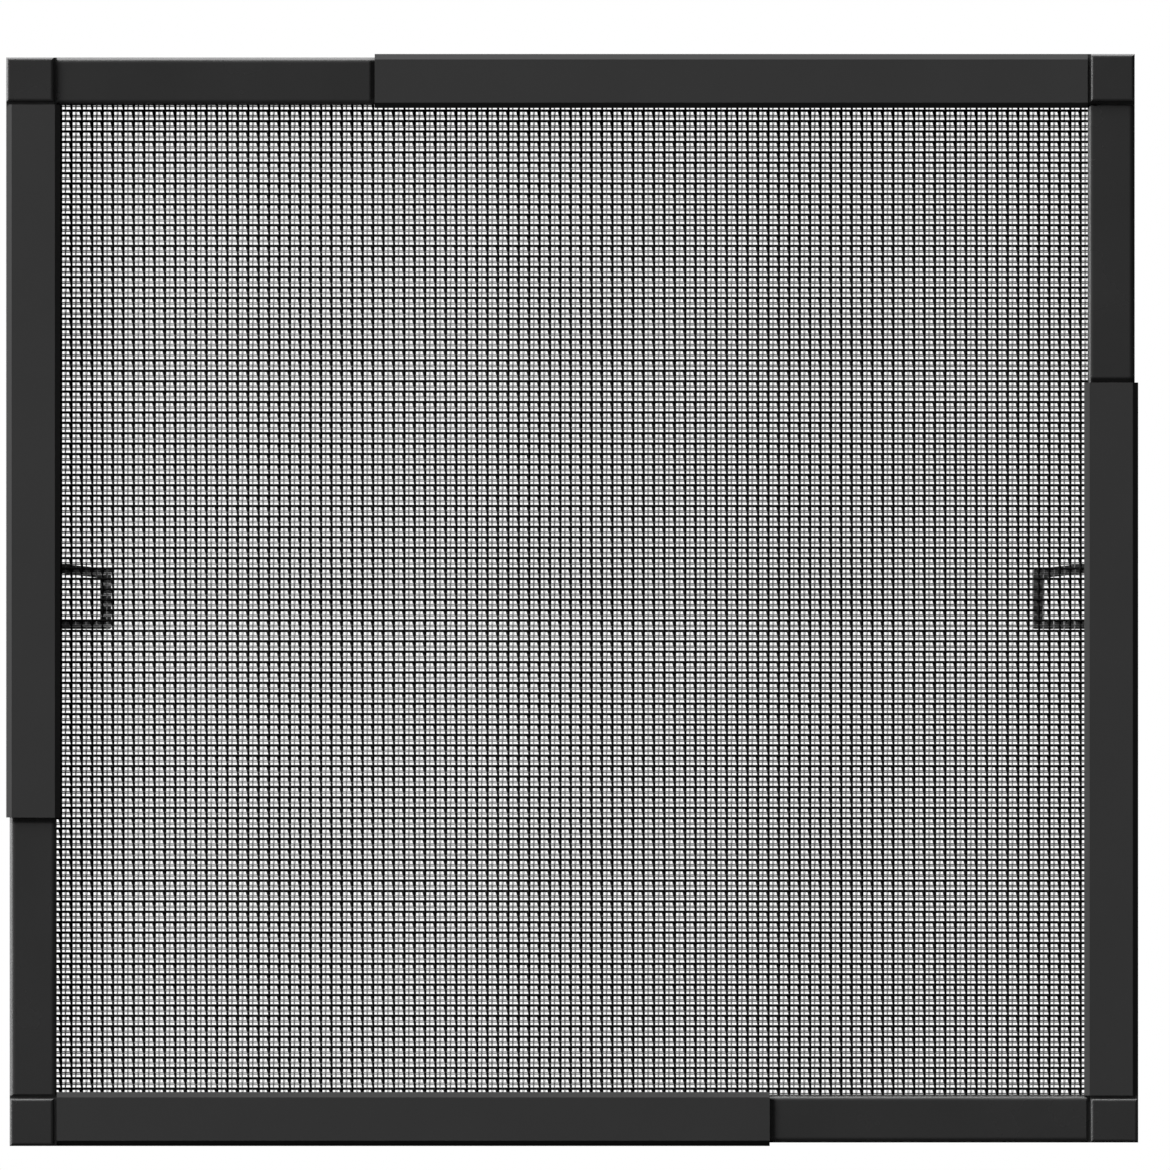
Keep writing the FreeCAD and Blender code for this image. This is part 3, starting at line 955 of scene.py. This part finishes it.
@dataclass
class HookTape:
    """Strip of woven hook tape on the back of a rail."""

    node: str
    body: str
    way: Way
    ground: float = 0.55 * MM
    ease: float = 0.2 * MM
    ease_steps: int = 2
    hook_pitch: float = 1.9 * MM
    hook_thick: float = 0.36 * MM
    margin: float = 0.8 * MM
    bend: tuple[tuple[float, float], ...] = ((0.0, 0.0), (0.05, 0.55), (0.35, 0.92), (0.8, 0.9))
    thinning: tuple[float, ...] = (1.0, 0.85, 0.7, 0.45)

    def build(self, cloth: bpy.types.Material, nylon: bpy.types.Material) -> bpy.types.Object:
        """Weaves the strip and sets its hooks.

        Args:
            cloth: Finish of the woven ground.
            nylon: Finish of the hooks.

        Returns:
            The tape's object.
        """
        low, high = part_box(self.node)
        along, aside = self.way.value, self.way.other.value
        piece = Piece(f"{self.node}_strip")
        top = low.y + self.ground
        middle = (low + high) / 2
        size = high - low
        size.y = self.ground
        centre = Vector((middle.x, low.y + self.ground / 2, middle.z))
        shape = Matrix.Translation(centre) @ Matrix.Diagonal((*size, 1.0))
        bmesh.ops.create_cube(piece.mesh, size=1.0, matrix=shape)
        edges = piece.mesh.edges
        rims = [edge for edge in edges if all(vert.co.y > centre.y for vert in edge.verts)]
        bmesh.ops.bevel(
            piece.mesh,
            geom=rims,
            offset=self.ease,
            offset_type="OFFSET",
            affect="EDGES",
            segments=self.ease_steps,
            profile=0.5,
            material=-1,
        )
        rows = int((size[aside] - 2.0 * self.margin) / self.hook_pitch) + 1
        count = int((size[along] - 2.0 * self.margin) / self.hook_pitch) + 1
        first = self.way.point(
            middle[along] - (count - 1) / 2 * self.hook_pitch,
            middle[aside] - (rows - 1) / 2 * self.hook_pitch,
            top - self.ease / 2,
        )
        hooks = self.hook(first, high.y - top)
        hooks.array(self.way.point(self.hook_pitch, 0.0, 0.0), count)
        hooks.array(self.way.point(0.0, self.hook_pitch, 0.0), rows)
        piece.absorb(hooks, finish=1)
        made = piece.finish([cloth, nylon], self.body, "tape", smooth=False)
        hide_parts(self.node)
        return made

    def hook(self, foot: Vector, height: float) -> Piece:
        """Makes one bent hook.

        Args:
            foot: Where the hook stands.
            height: How far it stands out of the ground.

        Returns:
            The hook's mesh.
        """
        half = self.hook_thick / 2
        square = ((-1, -1), (1, -1), (1, 1), (-1, 1))
        corners = [self.way.point(half * a, half * b, 0.0) for a, b in square]
        hook = Piece("hook")
        line = [foot + self.way.point(u * height, 0.0, y * height) for u, y in self.bend]
        hook.grow(corners, line, list(self.thinning))
        return hook


@dataclass
class FoamPad:
    """Adhesive foam pad under a pull tab's foot."""

    node: str
    body: str
    corner: float = 0.9 * MM
    corner_steps: int = 4
    bulge: float = 0.22 * MM
    bulge_steps: int = 3
    fill: float = 0.5

    def build(self, foam: bpy.types.Material) -> bpy.types.Object:
        """Cuts the pad with round corners and a rim pressed outwards.

        Args:
            foam: Finish of the pad.

        Returns:
            The pad's object.
        """
        low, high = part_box(self.node)
        size = high - low - Vector((2 * self.bulge, 0.0, 2 * self.bulge))
        shape = Matrix.Translation((low + high) / 2) @ Matrix.Diagonal((*size, 1.0))
        piece = Piece(f"{self.node}_foam")
        bm = piece.mesh
        bmesh.ops.create_cube(bm, size=1.0, matrix=shape)
        bmesh.ops.bevel(
            bm,
            geom=self.posts(bm),
            offset=self.corner,
            offset_type="OFFSET",
            affect="EDGES",
            segments=self.corner_steps,
            profile=0.5,
            material=-1,
        )
        posts, cuts = self.posts(bm), self.bulge_steps
        belt = bmesh.ops.subdivide_edges(bm, edges=posts, cuts=cuts)["geom_inner"]
        middle = (low + high) / 2
        for vert in (item for item in belt if isinstance(item, bmesh.types.BMVert)):
            share = 1.0 - (2.0 * (vert.co.y - middle.y) / size.y) ** 2
            away = vert.co - middle
            push = Vector((math.copysign(1.0, away.x), 0.0, math.copysign(1.0, away.z)))
            bmesh.ops.translate(bm, verts=[vert], vec=push * self.bulge * share)
        made = piece.finish([foam], self.body, "tab_pad")
        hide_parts(self.node)
        return made

    @staticmethod
    def posts(bm: bmesh.types.BMesh) -> list[bmesh.types.BMEdge]:
        """Edges that run from the pad's front to its back."""
        return [edge for edge in bm.edges if abs(edge.verts[0].co.y - edge.verts[1].co.y) > HAIR]


@dataclass
class Rails:
    """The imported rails, corners and pull tabs, which keep their own shapes."""

    finishes: dict[str, Finish] = field(
        default_factory=lambda: {
            "outer_rail": OUTER_COAT,
            "inner_rail": INNER_COAT,
            "corner": CORNER_SKIN,
            "pull_tab": TAB_SKIN,
        }
    )

    def dress(self) -> list[str]:
        """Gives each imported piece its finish.

        Returns:
            Names of the pieces that were dressed.
        """
        made = {ending: finish.material() for ending, finish in self.finishes.items()}
        dressed = []
        for name, node in sorted(frame["nodes"].items()):
            for ending, material in made.items():
                if name.endswith(ending):
                    node.data.materials.clear()
                    node.data.materials.append(material)
                    dressed.append(name)
        return dressed


@dataclass
class Lamp:
    """A long soft lamp that faces the middle of the screen."""

    title: str
    towards: tuple[float, float, float]
    power: float
    size: tuple[float, float]
    away: float = 12.0

    def hang(self) -> None:
        """Places the lamp and turns it to the screen."""
        data = bpy.data.lights.new(self.title, "AREA")
        data.shape = "RECTANGLE"
        data.size, data.size_y = self.size
        data.energy = self.power
        lamp = bpy.data.objects.new(self.title, data)
        spot = Vector(self.towards).normalized() * self.away
        lamp.location = spot
        lamp.rotation_euler = (-spot).to_track_quat("-Z", "Y").to_euler()
        lamp.visible_camera = False
        bpy.context.scene.collection.objects.link(lamp)


@dataclass
class Studio:
    """Camera, lamps, pale floor and white background."""

    view_wide: float = 0.585
    view_x: float = 6.4 * MM
    view_z: float = 7.5 * MM
    view_away: float = 2.0
    floor_wide: float = 12.0
    floor_z: float = -273.0 * MM
    floor_gloss: float = 0.03
    floor_shade: Colour = (0.03, 0.03, 0.03)
    floor_pale: Colour = (0.82, 0.82, 0.82)
    floor_rough: float = 0.9
    floor_specular: float = 0.1
    ambient: float = 0.03
    sky: tuple[float, float, float] = (-0.6, 0.4, 0.69)
    sky_edge: tuple[float, float] = (0.3, 0.7)
    lamps: tuple[Lamp, ...] = (
        Lamp("top_lamp", (-0.45, -0.36, 0.82), 1215.0, (8.4, 2.7)),
        Lamp("left_lamp", (-0.82, -0.36, 0.45), 1215.0, (2.7, 8.4)),
        Lamp("top_rim", (0.0, 0.12, 1.0), 50.0, (1.6, 3.0), 3.0),
        Lamp("left_rim", (-1.0, 0.12, 0.0), 50.0, (3.0, 1.6), 3.0),
        Lamp("back_lamp", (0.35, 0.8, 0.5), 1100.0, (6.0, 6.0)),
    )

    def build(self) -> None:
        """Sets up the whole studio."""
        bpy.context.scene.view_settings.view_transform = "Standard"
        self.camera()
        for lamp in self.lamps:
            lamp.hang()
        self.world()
        self.floor()

    def camera(self) -> None:
        """Looks at the screen's front from straight ahead."""
        data = bpy.data.cameras.new("camera")
        data.type = "ORTHO"
        data.ortho_scale = self.view_wide
        camera = bpy.data.objects.new("camera", data)
        camera.location = (self.view_x, -self.view_away, self.view_z)
        camera.rotation_euler = (HALF_TURN / 2, 0.0, 0.0)
        bpy.context.scene.collection.objects.link(camera)
        bpy.context.scene.camera = camera

    def world(self) -> None:
        """White behind the screen and in its gloss on one side, dim elsewhere."""
        world = bpy.data.worlds.new("studio")
        bpy.context.scene.world = world
        world.use_nodes = True
        graph = Graph(world.node_tree)
        nodes = world.node_tree.nodes
        dim = nodes["Background"]
        dim.inputs["Color"].default_value = WHITE
        dim.inputs["Strength"].default_value = self.ambient
        white = graph.add("ShaderNodeBackground")
        white.inputs["Color"].default_value = WHITE
        path = graph.add("ShaderNodeLightPath")
        facing = graph.add("ShaderNodeVectorMath", operation="DOT_PRODUCT")
        graph.feed(facing.inputs[0], graph.add("ShaderNodeTexCoord").outputs["Generated"])
        facing.inputs[1].default_value = self.sky
        bright = graph.add("ShaderNodeMapRange", clamp=True)
        graph.feed(bright.inputs["Value"], facing.outputs["Value"])
        bright.inputs["From Min"].default_value = self.sky_edge[0]
        bright.inputs["From Max"].default_value = self.sky_edge[1]
        mirrored = graph.math("MULTIPLY", path.outputs["Is Glossy Ray"], bright.outputs["Result"])
        seen = graph.math("ADD", path.outputs["Is Camera Ray"], path.outputs["Is Transmission Ray"])
        share = graph.math("ADD", seen, mirrored, clamp=True)
        mix = graph.add("ShaderNodeMixShader")
        graph.feed(mix.inputs[0], share)
        graph.feed(mix.inputs[1], dim.outputs[0])
        graph.feed(mix.inputs[2], white.outputs[0])
        graph.feed(nodes["World Output"].inputs["Surface"], mix.outputs[0])

    def floor(self) -> None:
        """Lays a pale floor under the screen, which throws little light back at it."""
        bm = bmesh.new()
        bmesh.ops.create_grid(
            bm,
            x_segments=2,
            y_segments=2,
            size=self.floor_wide / 2,
            matrix=Matrix.Translation((0.0, 0.0, self.floor_z)),
        )
        data = bpy.data.meshes.new("floor")
        bm.to_mesh(data)
        bm.free()
        material = bpy.data.materials.new("pale_floor")
        material.use_nodes = True
        graph = Graph(material.node_tree)
        shader = material.node_tree.nodes["Principled BSDF"]
        shader.inputs["Roughness"].default_value = self.floor_rough
        shader.inputs["Specular IOR Level"].default_value = self.floor_specular
        path = graph.add("ShaderNodeLightPath")
        seen = graph.math("ADD", path.outputs["Is Camera Ray"], path.outputs["Is Transmission Ray"])
        faint = graph.math("MULTIPLY", path.outputs["Is Glossy Ray"], self.floor_gloss)
        share = graph.math("ADD", seen, faint, clamp=True)
        colour = graph.tint(share, self.floor_shade, self.floor_pale)
        graph.feed(shader.inputs["Base Color"], colour)
        data.materials.append(material)
        floor = bpy.data.objects.new("floor", data)
        bpy.context.scene.collection.objects.link(floor)


@dataclass
class Screen:
    """The whole screen."""

    net: Net = field(default_factory=Net)
    pads: tuple[FoamPad, ...] = (
        FoamPad("left_tab_pad", "upper_left"),
        FoamPad("right_tab_pad", "lower_right"),
    )

    def bindings(self) -> list[Binding]:
        """Lists the four bindings.

        Returns:
            Top, bottom, left and right binding.
        """
        wide, high = WIDTH_TRAVEL, HEIGHT_TRAVEL
        return [
            Binding("top_hem", "upper_left", Way.ACROSS, "width_slide", False, wide, True),
            Binding("bottom_hem", "lower_left", Way.ACROSS, "width_slide", False, wide, False),
            Binding("left_hem", "upper_left", Way.DOWN, "left_height_slide", True, high, False),
            Binding("right_hem", "upper_right", Way.DOWN, "right_height_slide", True, high, True),
        ]

    def tapes(self) -> list[HookTape]:
        """Lists the strips of hook tape.

        Returns:
            One strip for each rail.
        """
        owners = frame["record"]["behaviour"]["bodies"]
        body_of = {node: body for body, nodes in owners.items() for node in nodes}
        found = []
        for node in sorted(body_of):
            if node.endswith("_tape"):
                level = node.startswith(("top", "bottom"))
                found.append(HookTape(node, body_of[node], Way.ACROSS if level else Way.DOWN))
        return found

    def build(self) -> None:
        """Builds and dresses every piece."""
        for name in Rails().dress():
            LOG.info("dressed %s", name)
        yarns = {Ply.BLACK: NET_YARN.material(), Ply.GREY: FINE_YARN.material()}
        for half in Half:
            LOG.info("wove %s", self.net.weave(half, yarns).name)
        cloth, sewing = BINDING_CLOTH.material(), SEWING_YARN.material()
        for binding in self.bindings():
            LOG.info("sewed %s", binding.build(cloth, sewing).name)
        ground, nylon = TAPE_CLOTH.material(), HOOK_NYLON.material()
        for tape in self.tapes():
            LOG.info("laid %s", tape.build(ground, nylon).name)
        foam = PAD_FOAM.material()
        for pad in self.pads:
            LOG.info("cut %s", pad.build(foam).name)


def write_sizes() -> None:
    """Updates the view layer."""
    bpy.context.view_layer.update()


def main() -> None:
    """Builds the screen and its studio, in order."""
    logging.basicConfig(level=logging.INFO, format="%(name)s: %(message)s")
    Screen().build()
    Studio().build()
    write_sizes()


if __name__ == "__main__":
    main()
